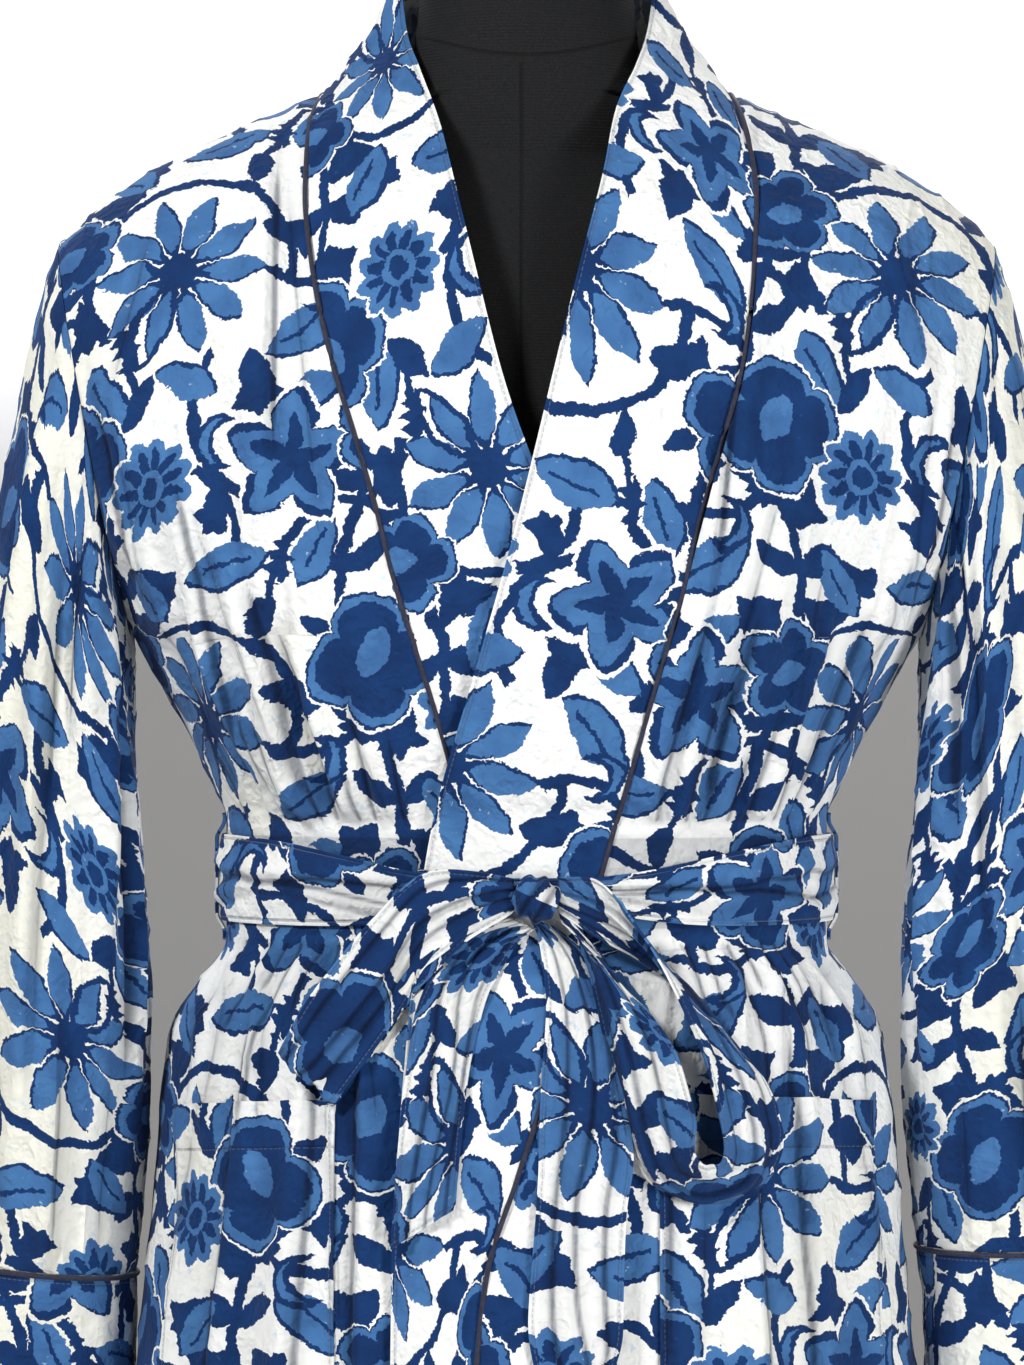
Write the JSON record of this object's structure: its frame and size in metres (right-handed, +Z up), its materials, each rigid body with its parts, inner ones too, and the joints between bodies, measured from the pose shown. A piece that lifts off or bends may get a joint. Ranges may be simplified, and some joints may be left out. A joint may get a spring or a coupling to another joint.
{
  "type": "kimono robe on a dress form",
  "caption": "Wrap kimono robe in block-printed cotton with a piped front band, dropped sleeves, patch pockets and a tied belt, worn by a limbless dress form on a round stand.",
  "frame": {"origin": "centre of the stand's underside, on the floor", "axes": "+Z up, the robe's front faces -Y, +X is towards the wearer's left"},
  "size_m": [0.695, 0.41, 1.5983],
  "materials": {
    "printed_cotton": "soft plain-weave cotton, printed indigo flowers on white",
    "navy_piping": "matt corded piping",
    "form_jersey": "matt knitted jersey",
    "stand_metal": "satin black paint"
  },
  "bodies": {
    "root": {"back": "printed_cotton", "front_left": "printed_cotton", "front_right": "printed_cotton", "band_left": "printed_cotton", "band_right": "printed_cotton", "sleeve_left": "printed_cotton", "sleeve_right": "printed_cotton", "cuff_left": "printed_cotton", "cuff_right": "printed_cotton", "pocket_left": "printed_cotton", "pocket_right": "printed_cotton", "belt": "printed_cotton", "belt_carrier_left": "printed_cotton", "belt_carrier_right": "printed_cotton", "bow_knot": "printed_cotton", "bow_loop_left": "printed_cotton", "bow_loop_right": "printed_cotton", "bow_tail_left": "printed_cotton", "bow_tail_right": "printed_cotton", "band_piping_left": "navy_piping", "band_piping_right": "navy_piping", "cuff_piping_left": "navy_piping", "cuff_piping_right": "navy_piping", "form_body": "form_jersey", "form_neck_cap": "form_jersey", "form_pole": "stand_metal", "form_base": "stand_metal"}
  },
  "joints": []
}
